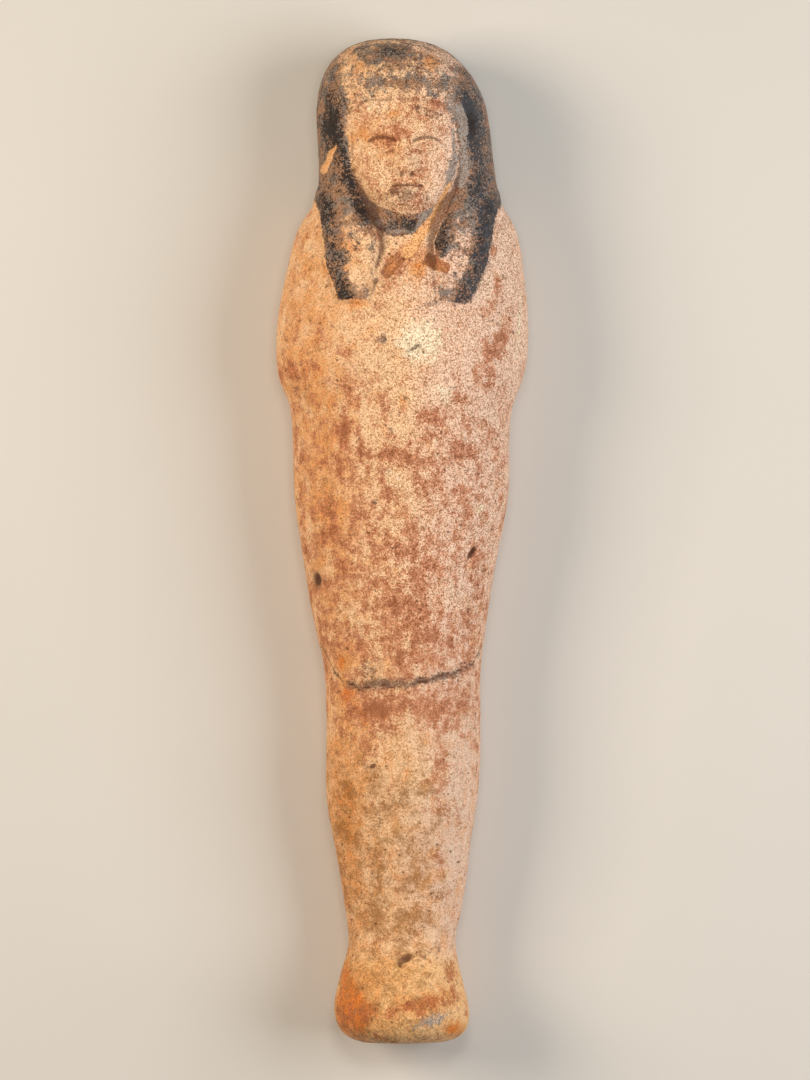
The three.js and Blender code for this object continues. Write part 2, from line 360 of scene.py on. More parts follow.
# Deeper holes in the clay: x, height, half sizes, turn, depth.
HOLES = [
    (-19.0, 101.2, 1.1, 2.0, 8, 1.3),
    (15.5, 107.2, 0.55, 1.7, -32, 1.1),
    (-6.4, 60.7, 0.75, 0.45, 25, 0.9),
    (-5.4, 58.4, 0.6, 0.35, 30, 0.3),
    (0.8, 18.8, 1.35, 0.9, 15, 0.8),
    (-0.4, 17.4, 0.5, 0.7, 0, 0.5),
    (12.5, 39.4, 0.45, 0.4, 0, 0.5),
    (-11.6, 49.3, 0.35, 0.35, 0, 0.5),
    (-10.7, 48.0, 0.3, 0.3, 0, 0.4),
    (-11.2, 210.1, 0.55, 0.4, 0, 0.4),
    (-5.6, 166.4, 0.55, 0.4, 30, 0.5),
    (-3.9, 166.2, 0.35, 0.3, 0, 0.4),
    (-1.9, 185.3, 0.4, 0.3, 30, 0.35),
    (2.3, 186.0, 0.35, 0.45, 0, 0.3),
    (1.6, 151.3, 0.25, 0.55, -60, 0.45),
    (2.9, 152.3, 0.25, 0.5, 20, 0.45),
    (4.5, 153.6, 0.35, 0.3, 0, 0.45),
    (3.5, 150.5, 0.2, 0.45, -40, 0.4),
    (6.7, 155.8, 0.3, 0.25, 0, 0.4),
    (-0.6, 140.9, 0.4, 0.5, 0, 0.35),
]
HOLE_SEED = 7
SMALL_HOLES = 300


def inside_flakes(surface):
    """How far each spot lies inside each loss, by name: less than 0 outside it."""
    ragged = 0.4 * lumps(surface.rings, 1.6, 3, seed=6)
    inside = {}
    for name, (line, start, end, _) in STRIPS.items():
        distance, share = stroke_distance(surface.x, surface.height, line)
        inside[name] = start + (end - start) * share - distance
    for name, (middle_x, middle_height, half_width, half_height, turn, _) in PATCHES.items():
        across, along = turned(surface.x - middle_x, surface.height - middle_height, turn)
        inside[name] = np.minimum(half_width - np.abs(across), half_height - np.abs(along))
    on_front = surface.front > 0.2
    return {name: np.where(on_front, depth + ragged, OUTSIDE) for name, depth in inside.items()}


def small_holes(surface):
    """Pinholes left by burnt-out straw and grit, scattered all over."""
    random = np.random.default_rng(HOLE_SEED)
    rings, columns = surface.x.shape
    picks = zip(
        random.integers(0, rings, SMALL_HOLES),
        random.integers(0, columns, SMALL_HOLES),
        random.uniform(0.25, 0.6, SMALL_HOLES),
        random.uniform(0.12, 0.4, SMALL_HOLES),
    )
    depth = np.zeros(surface.x.shape)
    for ring, column, radius, deep in picks:
        near = slice(max(0, ring - 5), ring + 6)
        distance = np.linalg.norm(surface.rings[near] - surface.rings[ring, column], axis=2)
        depth[near] += deep * ridge(distance, radius)
    return depth


def cracks(surface):
    """The old break across the shins, and the crack in the wig."""
    broken = BREAK_DEPTH * ridge(surface.from_break, BREAK_HALF_WIDTH) * (0.5 + 0.5 * surface.front)
    from_wig_crack, _ = stroke_distance(surface.x, surface.height, WIG_CRACK)
    return broken + WIG_CRACK_DEPTH * ridge(from_wig_crack, WIG_CRACK_HALF_WIDTH) * surface.front


def raised(surface, flakes):
    """All the relief together, and how deep its holes and cracks are, which the material darkens them by
    as painted shade.
    """
    holes = surface.spots(HOLES) + small_holes(surface)
    crack = cracks(surface)
    under_break = smoothstep(-surface.from_break, 0, 0.8) * smoothstep(surface.from_break, -14, -2)
    losses = {**STRIPS, **PATCHES}
    flaked = sum(loss[-1] * smoothstep(flakes[name], -0.1, 0.35) for name, loss in losses.items())
    relief = hand_modelling(surface) + face(surface) + wig_edge(surface)
    relief -= holes + crack + STEP_BELOW_BREAK * under_break + flaked
    return relief, holes + 2.2 * crack


# ---- Paint: where each colour lies. Places are x, height, half sizes, turn, strength ----
# Where the slip has worn through to red-brown clay.
WORN_SLIP = [
    (6, 137, 4.5, 3, 0, 0.35), (-0.7, 128, 5.5, 2.2, -8, 0.5), (13.3, 129.5, 3.5, 2.4, 0, 0.3),
    (14, 120.7, 2.4, 2.4, 0, 0.35), (4.8, 122.4, 2.4, 2.2, 0, 0.35), (-12, 134, 1.3, 6, 0, 0.4),
    (-9.2, 131, 0.7, 4, 6, 0.4), (-7.4, 127, 0.6, 3.4, -4, 0.35), (-13.6, 124, 0.8, 4, 4, 0.35),
    (-4, 123.6, 0.9, 3.6, 18, 0.35), (-15.5, 114, 1.6, 6, 0, 0.22), (0, 104, 8, 9, 0, 0.22),
    (2, 93.5, 7, 4, 0, 0.26), (3, 74, 11.5, 4.4, 0, 0.4), (-6, 72, 2.5, 5, 18, 0.35),
    (8, 59, 1.8, 7, 0, 0.42), (10.5, 70, 3, 6, 0, 0.25), (1.5, 85.5, 6.5, 5.5, 0, 0.3),
    (-3.8, 72.4, 2, 3.4, 0, 0.2), (0, 204.4, 9, 2.4, 0, 0.16), (0, 199, 8, 5, 0, 0.22),
    (0, 170, 5, 6, 0, 0.28), (8.5, 40, 1.2, 1.6, 0, 0.35), (8, 88, 6, 4, 0, 0.15),
    (12, 141.5, 2.2, 3.4, -30, 0.35), (18.5, 149, 1.8, 5, 0, 0.42), (19.7, 172.9, 1.4, 1.6, 0, 0.5),
    (20.2, 163, 1.2, 6, -16, 0.4), (22.6, 156, 1.9, 6.4, -16, 0.6), (-24.4, 147, 2.6, 2.6, 0, 0.4),
    (-19.7, 147, 1.4, 2.4, -20, 0.45), (-19, 152, 3, 4, 0, 0.15), (-9.4, 6.6, 3.6, 2.8, 0, 0.35),
    (5.6, 9.4, 6, 1.9, 12, 0.7), (-4, 9, 3, 1.4, 0, 0.4), (10.6, 15, 1.2, 3.6, 12, 0.4),
    (3, 116, 12, 12, 0, 0.12), (-6.6, 58, 1.8, 8, 12, 0.12), (-7.2, 191, 2, 3.6, 20, 0.25),
    (-2.4, 196, 3.4, 3, 0, 0.15), (2.5, 190.5, 3.2, 5, 0, 0.2), (0, 185, 7, 4.6, 0, 0.24),
    (-10, 172, 3, 5, 0, 0.16), (5, 203, 4, 2.2, 0, 0.3), (-9, 201.6, 2.4, 3, 0, 0.3),
    (-9.6, 203.6, 1.4, 1, 0, 0.5), (7.8, 205.2, 1.6, 1.4, 0, 0.5), (15, 92, 5, 34, 0, 0.16),
    (-12, 92, 5, 30, 0, 0.06), (21, 146, 5, 9, 0, 0.1), (-12, 155, 4, 4, 0, 0.08),
]
# Where the cream slip is whole.
WHOLE_SLIP = [
    (-17, 161, 7, 12, 0, 0.1), (4, 153, 6, 6, 0, 0.16), (9.6, 142, 2.8, 2.6, 0, 0.2),
    (-2.2, 124.2, 3.4, 2.4, 0, 0.25), (4, 115, 3.2, 3, 0, 0.22), (-7, 133, 3.2, 3.4, 0, 0.12),
    (12, 95, 3.4, 6, 0, 0.14), (11.6, 65, 2.4, 6, 0, 0.15), (0.5, 60, 5, 8, 0, 0.1),
    (-6, 14.5, 4, 3.6, 0, 0.4), (3.4, 14, 4, 3, 0, 0.3), (0, 4, 2.6, 2.6, 0, 0.3),
    (-6, 204.6, 5, 1.8, 0, 0.2), (-9, 197.6, 3.2, 2, 0, 0.15), (-3.6, 175, 4, 2.4, 0, 0.1),
    (17, 168, 3, 6, 0, 0.1),
]
# Orange and ochre stains.
WARM = [
    (-19, 152, 7, 26, 0, 0.35), (-15, 118, 5, 20, 0, 0.45), (-12.4, 76, 1.6, 1.9, 0, 0.9),
    (-12.4, 84, 2.4, 2.4, 0, 0.5), (-12, 50, 4, 24, 0, 0.4), (-2, 11, 14, 8, 0, 0.12),
    (-10.6, 7.4, 3.8, 5.4, 0, 1.25), (-12.6, 14, 1.6, 3.6, 0, 0.6), (11.4, 3.4, 2.4, 2, 0, 0.9),
    (5, 9.2, 5.4, 1.8, 12, 0.7), (-8.4, 71, 1, 4, 24, 0.6), (0, 171, 4, 6, 0, 0.25),
    (3.6, 169.5, 3, 5, 0, 0.5), (-13.8, 172.6, 2, 4.4, -12, 0.5), (-9.4, 161.6, 1.8, 1.2, 0, 0.6),
    (-9, 198, 3.4, 2.4, 0, 0.5), (-1.9, 202.6, 1.8, 1.6, 0, 0.8), (-2.6, 196, 3, 3, 0, 0.5),
    (6, 214, 1.8, 2.6, 0, 0.8), (-8.8, 213.6, 2.2, 2, 0, 0.5), (0.6, 139.6, 1.4, 1.8, 0, 0.5),
    (2, 35, 6, 8, 0, 0.15), (14, 191, 1.4, 3.4, 0, 0.5), (-24, 146, 2.6, 3, 0, 0.4),
]
# Grey-brown dirt, with the dark ticks on the chest.
GRIME = [
    (-6.4, 81.6, 3.2, 3, 0, 0.42), (2, 79.4, 12, 1.1, 5, 0.34), (-4.4, 153.4, 1.7, 1.5, 0, 0.55),
    (2.4, 151.5, 1, 0.35, 30, 1.1), (3.6, 152, 0.5, 0.5, 0, 0.9), (6.4, 161.4, 3.2, 1.3, 10, 0.42),
    (1.4, 150, 0.5, 0.4, 0, 0.8), (0, 178.4, 6.4, 1.8, 0, 0.35), (0.7, 141, 0.7, 0.8, 0, 0.8),
    (-6.8, 143, 1.6, 1.0, 30, 0.3), (-23, 142.6, 1.6, 3.2, 20, 0.35), (6.6, 5.2, 5, 1.5, 18, 0.2),
    (0, 185, 6, 3.4, 0, 0.52), (-5.8, 118.2, 0.8, 0.8, 0, 0.6), (-10.4, 111, 0.7, 2.2, 25, 0.4),
    (-2.2, 134, 0.7, 1.4, 35, 0.5), (3.6, 203.6, 2.4, 1.7, 0, 0.5), (7.4, 202.6, 2, 2.4, 0, 0.4),
    (-8, 60.6, 1.6, 1.0, 0, 0.3), (9.6, 75.4, 1.6, 4, 0, 0.15), (17.6, 176, 1.2, 1.6, 0, 0.45),
    (21, 158, 1.0, 7, 0, 0.3), (-3.4, 11.8, 1.6, 1.1, 0, 0.35), (-8, 88, 8, 8, 0, 0.08),
    (5.5, 197, 2.4, 3, 0, 0.15), (-5.2, 199.4, 2.6, 1.2, 10, 0.15),
]
# Olive-brown stains, most of them on the shins.
OLIVE = [
    (-0.8, 46.6, 1.5, 1.3, 20, 0.25), (0.6, 51.6, 1.5, 1.2, 20, 0.25), (3.4, 37, 1.6, 2.2, 0, 0.25),
    (-4.8, 38.4, 1.6, 1.2, 0, 0.25), (-12, 55.4, 1.8, 2.4, 0, 0.2), (-9.4, 39.2, 1.4, 1.2, 0, 0.3),
    (-1, 30, 9, 7, 0, 0.14), (-7, 28, 2, 1.6, 0, 0.3), (5.6, 29, 1.6, 1.4, 0, 0.15),
    (-2.4, 24.2, 6, 1.2, 0, 0.25), (-15.6, 120, 2, 9, 0, 0.2), (-13.2, 46, 1.4, 8, 0, 0.12),
]
# Where the slip is palest, with a painted highlight on the chest at 4, 153.2.
PALE_SLIP_SPOTS_AND_HIGHLIGHT = [
    (17, 116.9, 0.6, 0.9, 0, 1.4), (7.4, 132, 0.35, 0.7, 0, 1.3), (25.6, 157, 0.6, 8, -4, 0.5),
    (4, 153.2, 4.8, 4.6, 0, 0.85), (3, 139, 8, 3.4, 0, 0.12), (-2.2, 124.2, 3.4, 2.4, 0, 0.3),
    (4, 115, 3.2, 3, 0, 0.3), (9.6, 142, 2.8, 2.6, 0, 0.35), (11.3, 68, 2.2, 2.6, 0, 0.1),
    (-6, 204.6, 5, 1.8, 0, 0.3), (16, 96, 3, 8, 0, 0.15), (12.4, 45, 2.4, 24, 0, 0.15),
    (18.5, 165, 3.4, 9, 0, 0.2), (6.8, 176.4, 1.6, 2.4, -10, 0.3), (9.4, 210.6, 2.4, 1.4, -30, 0.35),
    (-16.8, 193.8, 1, 3, -20, 0.3),
]
# Near-black paint on the wig and the neck, added to the painted bands or, below 0, taken off. Beside the
# jaw and under the chin it is also painted shade.
BLACK_PAINT_AND_NECK_SHADE = [
    (-2.4, 216.2, 4.8, 1.9, 0, 0.6), (-15.2, 200.6, 2.4, 5.4, 0, 1.0), (-10.9, 187.6, 1.4, 7, 14, 1.1),
    (-8.2, 181.6, 1.8, 2.6, 30, 0.9), (3.6, 180.2, 1.9, 1.1, 30, 0.6), (0, 178.6, 6.4, 1.8, 0, 0.8),
    (10.1, 189, 1.2, 1.3, 0, 0.9), (6.2, 174.6, 1.1, 1.6, 0, 0.7), (1.6, 176.8, 1.4, 1, 0, 0.3),
    (12.6, 204, 2.6, 4, 25, 0.25), (15.0, 201, 1.9, 6, 10, 1.0), (12.6, 196, 1.1, 8, -6, 0.9),
    (9, 174.6, 1.6, 2.4, -20, 0.75), (-3, 209.6, 5, 1.3, 0, 0.2), (5.4, 210.4, 3.2, 1.4, 0, 0.2),
    (8.6, 208.6, 1.4, 1.2, 0, 0.35), (8.8, 177.4, 2, 4, -10, 0.4), (-17, 172, 3.4, 10, -12, -0.45),
    (-12.6, 171.6, 1.2, 1.8, 20, 0.35), (16.6, 186.6, 1.8, 4, 0, 0.45), (-15.4, 184, 3, 5, 0, 0.3),
    (12.4, 184, 3, 4, -20, 0.3), (17, 186, 4, 14, 0, 0.25), (13.6, 191, 1.6, 3.6, 0, -0.6),
    (-17.6, 202, 0.8, 8, 0, -0.2), (10.5, 178, 3, 3, 0, 0.15),
]
# Grey film on the wig and the neck, added or, below 0, taken off.
GREY_FILM = [
    (0, 209.4, 12, 2, 0, 0.35), (-2.4, 216.2, 6, 2.6, 0, 0.4), (13, 188, 4, 9, 0, 0.5),
    (-14, 182, 4, 7, 0, 0.45), (-10.4, 171, 2.6, 6, 0, -0.25), (-10.6, 163.2, 3.4, 1.6, 0, 0.6),
    (8, 163.4, 4, 1.8, 0, 0.7), (10, 171, 2.4, 4, 0, -0.1), (-16, 204, 3, 9, 0, 0.5),
    (15, 203, 4, 9, 0, 0.5), (9, 178, 2.6, 5, -20, 0.35),
]
# A light grey wash beside the face, round the throat and on the toes.
GREY_WASH = [
    (6.6, 5.4, 5, 1.6, 18, 0.6), (10.8, 190.4, 1.1, 4.6, -16, 0.9), (-0.5, 177.2, 3.4, 0.8, 0, 0.6),
    (-4.8, 179.2, 1.6, 0.9, 20, 0.6), (11.3, 198, 0.7, 5, 0, 0.6), (10.6, 204.4, 1, 2.4, 0, 0.6),
]


def painted_bands(surface):
    """The dark outer border of each lappet, and the wig's sides and back."""
    outer = profile(LAPPET_OUTER, surface.height) - surface.side
    below_cheeks = smoothstep(BORDER_TOP - surface.height, 0, 5)
    border = 0.85 * smoothstep(outer, 4.8, 2.2) * below_cheeks
    sides = 0.4 * smoothstep(surface.side, 11.5, 15) * (1 - below_cheeks)
    return np.maximum(np.maximum(border, sides), 0.55 * surface.back)


def slip_fields(surface):
    """What shows on the bare slip: where it is worn, warm, cool, dirty, pale or rough. The warmth and
    wear added on the figure's right side are painted warm light, and the pink and blue towards its left
    are painted cool light.
    """
    x, height = surface.x, surface.height
    # The figure's right side, where the warm lamp shines: the warmth and wear added here are painted warm
    # light.
    warm_lit_side = smoothstep(-x, -4, 22)
    belly_and_thighs = smoothstep(height, 150, 132) * smoothstep(height, 50, 84)
    return {
        "wear_and_warm_light": 0.11 + 0.17 * belly_and_thighs + 0.12 * warm_lit_side
        + 0.95 * surface.spots(WORN_SLIP) - surface.spots(WHOLE_SLIP),
        "warm_stains_and_light": 0.25 * warm_lit_side + 0.1 * surface.back + surface.spots(WARM)
        + 0.2 * smoothstep(height, 140, 60),
        "foot": smoothstep(height, 22, 16),
        # Towards the figure's left, where the whiter lamp shines: this is painted cool light.
        "cool_lit_side": smoothstep(x, -10, 20),
        "grime": 0.05 * surface.back + 0.5 * ridge(surface.from_break, 1.3) + 1.3 * surface.spots(GRIME),
        "rough": 0.7 + 0.5 * smoothstep(height, 78, 100) * smoothstep(x, -18, 4),
        "olive": 0.34 * smoothstep(height, 78, 56) * smoothstep(x, 16, 2) + surface.spots(OLIVE),
        # Pale slip, and a painted highlight on the chest.
        "pale": surface.spots(PALE_SLIP_SPOTS_AND_HIGHLIGHT),
    }


def wig_fields(surface):
    """Where the wig's paint lies, and the dark neck, which is partly painted shade, and the grey wash
    beside it.
    """
    bands = painted_bands(surface)
    black = surface.spots(BLACK_PAINT_AND_NECK_SHADE)
    wider_on_left = 0.6 * smoothstep(surface.x, 5, 10)
    neck_paint_and_shade = surface.neck_paint_and_shade
    return {
        "wig": np.maximum(surface.wig + wider_on_left, neck_paint_and_shade),
        "black": bands + black,
        "film": 0.3 + 1.4 * bands + surface.spots(GREY_FILM) + black + 0.8 * smoothstep(neck_paint_and_shade, -0.5, 0.5),
        "wash": surface.spots(GREY_WASH)
        + 1.1 * smoothstep(neck_paint_and_shade, -0.5, 0.3) * smoothstep(surface.x, 2, 5),
    }


def loss_fields(surface, points, flakes, depth):
    """Flaked places, and the depth of holes and hollows that the material paints shade into."""
    return {
        "flaked": np.maximum(flakes["flake"], flakes["ochre"]),
        "chip": np.maximum(flakes["chip"], flakes["streak"]),
        # The depth also sets the painted shade in holes and cracks.
        "depth": depth,
        "hollow_shade": hollows(points, surface.normals),
    }


def add_fields(mesh, fields):
    """Stores the fields that the material reads, with one more value for each pole."""
    for name, values in fields.items():
        poles = [values[0].mean(), values[-1].mean()]
        layer = mesh.attributes.new(name, "FLOAT", "POINT")
        layer.data.foreach_set("value", np.concatenate([values.ravel(), poles]).astype(np.float32))


def grid_faces(rings):
    """Quads between neighbouring rings, and a fan of triangles at each end."""
    start = np.arange(rings - 1)[:, None] * COLUMNS + np.arange(COLUMNS)
    after = np.arange(rings - 1)[:, None] * COLUMNS + (np.arange(COLUMNS) + 1) % COLUMNS
    quads = np.stack([start, start + COLUMNS, after + COLUMNS, after], axis=-1).reshape(-1, 4)
    sole, crown = rings * COLUMNS, rings * COLUMNS + 1
    last = (rings - 1) * COLUMNS
    fans = []
    for i in range(COLUMNS):
        j = (i + 1) % COLUMNS
        fans += [(sole, i, j), (crown, last + j, last + i)]
    return quads.tolist() + fans


def painted_figurine():
    """The finished figure: fine surface, relief and fields, with the worn paint as its material."""
    surface = Surface(smoothed_solid())
    flakes = inside_flakes(surface)
    relief, depth = raised(surface, flakes)
    points = surface.rings + surface.normals * relief[..., None]
    points = np.clip(points, LOW, HIGH)
    everything = np.concatenate([points.reshape(-1, 3), surface.poles]) * MM
    mesh = bpy.data.meshes.new("painted_figurine")
    mesh.from_pydata(everything.tolist(), [], grid_faces(len(points)))
    add_fields(mesh, slip_fields(surface))
    add_fields(mesh, wig_fields(surface))
    add_fields(mesh, loss_fields(surface, points, flakes, depth))
    mesh.shade_smooth()
    mesh.materials.append(worn_paint())
    piece = bpy.data.objects.new("painted_figurine", mesh)
    bpy.context.scene.collection.objects.link(piece)
    return piece


# ---- The material ----
def srgb(red, green, blue):
    """A colour as a screen shows it, from 0 to 255, in Blender's linear values."""
    shares = (channel / 255 for channel in (red, green, blue))
    return tuple(s / 12.92 if s <= 0.04045 else ((s + 0.055) / 1.055) ** 2.4 for s in shares) + (1,)


class Nodes:
    """Adds linked nodes to a material. Every method gives back the new node's output."""

    def __init__(self, material):
        material.use_nodes = True
        self.tree = material.node_tree
        self.shader = self.tree.nodes["Principled BSDF"]
        self.place = self.add("ShaderNodeTexCoord").outputs["Object"]

    def add(self, kind, inputs=(), **settings):
        node = self.tree.nodes.new(kind)
        for name, value in settings.items():
            setattr(node, name, value)
        for name, value in dict(inputs).items():
            self.set(node.inputs[name], value)
        return node

    def set(self, socket, value):
        if isinstance(value, bpy.types.NodeSocket):
            self.tree.links.new(value, socket)
        else:
            socket.default_value = value

    def field(self, name):
        return self.add("ShaderNodeAttribute", attribute_name=name).outputs["Fac"]

    def noise(self, size, detail=2.0, stretch=(1, 1, 1), seed=0.0):
        """Noise from 0 to 1 whose largest lumps are about size millimetres."""
        scale = tuple(part / (size * MM) for part in stretch)
        placed = {"Vector": self.place, "Scale": scale, "Location": (seed,) * 3}
        moved = self.add("ShaderNodeMapping", placed)
        values = {"Vector": moved.outputs[0], "Scale": 1.0, "Detail": detail, "Roughness": 0.66}
        return self.add("ShaderNodeTexNoise", values).outputs["Fac"]

    def wave(self, size, reach, **settings):
        """Noise to both sides of 0."""
        return self.scaled(self.noise(size, **settings), reach, -reach / 2)

    def math(self, operation, a, b):
        return self.add("ShaderNodeMath", {0: a, 1: b}, operation=operation).outputs[0]

    def scaled(self, value, factor, offset=0.0):
        values = {0: value, 1: factor, 2: offset}
        return self.add("ShaderNodeMath", values, operation="MULTIPLY_ADD").outputs[0]

    def total(self, first, *others):
        for other in others:
            first = self.math("ADD", first, other)
        return first

    def step(self, value, low, high, top=1.0):
        """0 below low and top above high, with a smooth ramp between."""
        values = {"Value": value, "From Min": low, "From Max": high, "To Min": 0.0, "To Max": top}
        return self.add("ShaderNodeMapRange", values, interpolation_type="SMOOTHSTEP").outputs[0]

    def mix(self, share, under, over, blend="MIX"):
        node = self.add("ShaderNodeMix", data_type="RGBA", blend_type=blend)
        self.set(node.inputs["Factor"], share)
        self.set(node.inputs[6], under)
        self.set(node.inputs[7], over)
        return node.outputs[2]


class Grains:
    """Sand-like grains: three chances from 0 to 1 for each, and the distance from its middle."""

    def __init__(self, n, size, seed):
        moved = n.add("ShaderNodeMapping", {"Vector": n.place, "Location": (seed * MM,) * 3})
        cells = n.add("ShaderNodeTexVoronoi", {"Vector": moved.outputs[0], "Scale": 1 / (size * MM)})
        chances = n.add("ShaderNodeSeparateColor", {"Color": cells.outputs["Color"]})
        self.first, self.second, self.third = chances.outputs
        self.distance = cells.outputs["Distance"]


CREAM = srgb(249, 206, 160)
PINK_CREAM = srgb(243, 205, 178)
# Pale slip, also the colour of the painted highlight on the chest.
PALE_SLIP_AND_HIGHLIGHT = srgb(255, 240, 206)
OCHRE = srgb(236, 160, 86)
DEEP_ORANGE = srgb(234, 130, 38)
RED_BROWN = srgb(210, 137, 96)
DARK_BROWN = srgb(160, 90, 52)
HONEY_SLIP = srgb(254, 202, 136)
FOOT_CLAY = srgb(196, 110, 56)
FLAKE_CLAY = srgb(186, 124, 84)
STREAK_SLIP = srgb(248, 190, 130)
BLACK = srgb(28, 22, 22)
BLUE_BLACK = srgb(52, 58, 66)
FILM_GREY = srgb(124, 116, 110)
FILM_BROWN = srgb(166, 124, 94)
WASH_GREY = srgb(166, 153, 143)
OLIVE_BROWN = srgb(170, 116, 62)
GRIME_BROWN = srgb(116, 88, 72)
# Brown of the dark specks, and of the painted shade in hollows.
SPECK_AND_SHADE_BROWN = srgb(92, 52, 30)
PIT_BROWN = srgb(132, 76, 42)
# Painted shade inside holes and cracks.
HOLE_SHADE = srgb(84, 42, 24)
# What a dark and a light grain multiply the colour round them by.
DARK_GRAIN = (0.52, 0.34, 0.2, 1)
LIGHT_GRAIN = (1.35, 1.42, 1.52, 1)


def whole_slip(n, middle, streaks):
    """Cream slip, pinker towards the figure's left as painted cool light and yellower on the feet, with
    warm stains and painted warm light on its right side.
    """
    tone = n.total(n.field("cool_lit_side"), n.wave(20, 1.0, seed=4))
    colour = n.mix(n.step(tone, 0.1, 0.9), CREAM, PINK_CREAM)
    colour = n.mix(n.scaled(n.field("foot"), 0.8), colour, HONEY_SLIP)
    warm_stains_and_light = n.total(n.field("warm_stains_and_light"), streaks, n.wave(3.6, 1.7, detail=6.0, seed=5))
    colour = n.mix(n.step(warm_stains_and_light, 0.0, 0.85, 0.85), colour, OCHRE)
    colour = n.mix(n.step(warm_stains_and_light, 0.7, 1.2, 0.9), colour, DEEP_ORANGE)
    # Palest slip, with the painted highlight on the chest.
    pale = n.total(n.field("pale"), middle)
    return n.mix(n.step(pale, 0.15, 0.55, 0.8), colour, PALE_SLIP_AND_HIGHLIGHT)


def worn_slip(n, slip, middle, jitter, streaks):
    """The slip where it lets the red-brown clay show, in patches with ragged edges."""
    broad = n.wave(5.0, 1.6, detail=5.0, seed=1)
    ragged = n.total(n.wave(2.2, 1.4, detail=8.0, seed=6), n.scaled(middle, 0.6), jitter)
    patches = n.math("MULTIPLY", n.field("foot"), n.wave(3.4, 2.2, detail=6.0, seed=26))
    # The wear is raised on the figure's right side, which is painted warm light.
    wear_and_warm_light = n.total(n.field("wear_and_warm_light"), broad, ragged, n.scaled(streaks, 0.8), patches)
    clay = n.mix(n.step(wear_and_warm_light, 0.45, 1.0), RED_BROWN, DARK_BROWN)
    clay = n.mix(n.scaled(n.field("foot"), 0.7), clay, FOOT_CLAY)
    worn = n.step(wear_and_warm_light, 0.2, 0.66, 0.9)
    return n.mix(worn, slip, clay), worn


def dirty(n, colour, middle, jitter):
    """The colour under its olive-brown stains and grey-brown dirt."""
    olive = n.total(n.field("olive"), n.wave(3.4, 1.9, detail=6.0, seed=7), n.scaled(middle, 0.6), jitter)
    colour = n.mix(n.step(olive, 0.12, 0.78, 0.85), colour, OLIVE_BROWN)
    grime = n.total(n.field("grime"), n.scaled(middle, 0.9), jitter)
    return n.mix(n.step(grime, 0.28, 0.85, 0.8), colour, GRIME_BROWN)


def wig_colour(n, slip, middle, jitter):
    """Grey film and near-black paint, worn through to the slip."""
    ragged = n.wave(2.4, 2.0, detail=6.0, seed=9)
    inside = n.step(n.total(n.field("wig"), ragged, jitter), -0.2, 0.25)
    patchy = n.total(n.wave(3.4, 1.6, detail=8.0, seed=10), middle, jitter)
    film = n.step(n.total(n.field("film"), patchy), 0.25, 0.65, 0.9)
    grey = n.mix(n.step(n.noise(3, detail=4.0, seed=13), 0.42, 0.58), FILM_GREY, FILM_BROWN)
    colour = n.mix(n.math("MULTIPLY", inside, film), slip, grey)
    speckled = n.total(n.field("black"), patchy, n.scaled(jitter, 2))
    black = n.step(speckled, 0.3, 0.95, 0.96)
    painted = n.math("MULTIPLY", inside, black)
    # Bluer towards the figure's left: painted cool light.
    blue = n.total(n.scaled(n.field("cool_lit_side"), 0.5), n.noise(4, detail=3.0, seed=14))
    dark = n.mix(n.step(blue, 0.78, 1.0), BLACK, BLUE_BLACK)
    return n.mix(painted, colour, dark), painted


def specked(n, colour, middle):
    """The colour with its fine grain: light and dark sand, brown pits and dark specks."""
    sand = Grains(n, 0.22, seed=11)
    pits = Grains(n, 0.46, seed=31)
    specks = Grains(n, 0.75, seed=23)
    shade = n.total(n.scaled(sand.third, 1.2, -0.6), n.wave(0.4, 0.85, detail=3.0, seed=16))
    shade = n.math("MULTIPLY", shade, n.field("rough"))
    colour = n.mix(n.step(shade, -0.04, -0.66), colour, DARK_GRAIN, "MULTIPLY")
    colour = n.mix(n.step(shade, 0.0, 0.6), colour, LIGHT_GRAIN, "MULTIPLY")
    pit = n.math("MULTIPLY", n.step(pits.first, 0.84, 0.9), n.step(pits.distance, 0.5, 0.2))
    colour = n.mix(n.scaled(pit, 0.5), colour, PIT_BROWN)
    reach = n.total(n.scaled(specks.second, 0.4, 0.05), middle, n.scaled(specks.distance, -1.0))
    dot = n.math("MULTIPLY", n.step(specks.first, 0.93, 0.95), n.step(reach, -0.05, 0.1))
    return n.mix(n.scaled(dot, 0.7), colour, SPECK_AND_SHADE_BROWN)


def flaked_off(n, colour, middle, jitter):
    """The colour with the clay of the flaked patches, and the slip of the strips."""
    clay = n.mix(n.step(n.math("ADD", middle, jitter), -0.1, 0.3, 0.7), FLAKE_CLAY, OCHRE)
    colour = n.mix(n.step(n.field("flaked"), -0.05, 0.25), colour, clay)
    return n.mix(n.step(n.field("chip"), -0.05, 0.25), colour, STREAK_SLIP)


def painted_shade_in_hollows(n, colour, middle, jitter):
    """The colour with painted shade in its hollows, though not in the clean strips, and painted shade in
    its holes and cracks.
    """
    clean = n.step(n.field("chip"), 0, 0.4, -0.2)
    hollow_shade = n.total(n.field("hollow_shade"), n.scaled(middle, 0.06), n.scaled(jitter, 0.1), clean)
    # Painted shade in the hollows, then in the holes and cracks.
    colour = n.mix(n.step(hollow_shade, 0.06, 0.32, 0.7), colour, SPECK_AND_SHADE_BROWN)
    return n.mix(n.step(n.field("depth"), 0.2, 1.1, 0.85), colour, HOLE_SHADE)


def grainy_bump(n, middle, worn, painted):
    """Sandy grain, with the worn slip a little lower and the wig's paint a little higher."""
    grain = n.wave(0.4, 0.85, detail=2.0, seed=21)
    height = n.total(grain, n.scaled(middle, 0.9), n.scaled(worn, -0.3), n.scaled(painted, 0.2))
    return n.add("ShaderNodeBump", {"Height": height, "Strength": 1.0, "Distance": 0.22 * MM}).outputs[0]


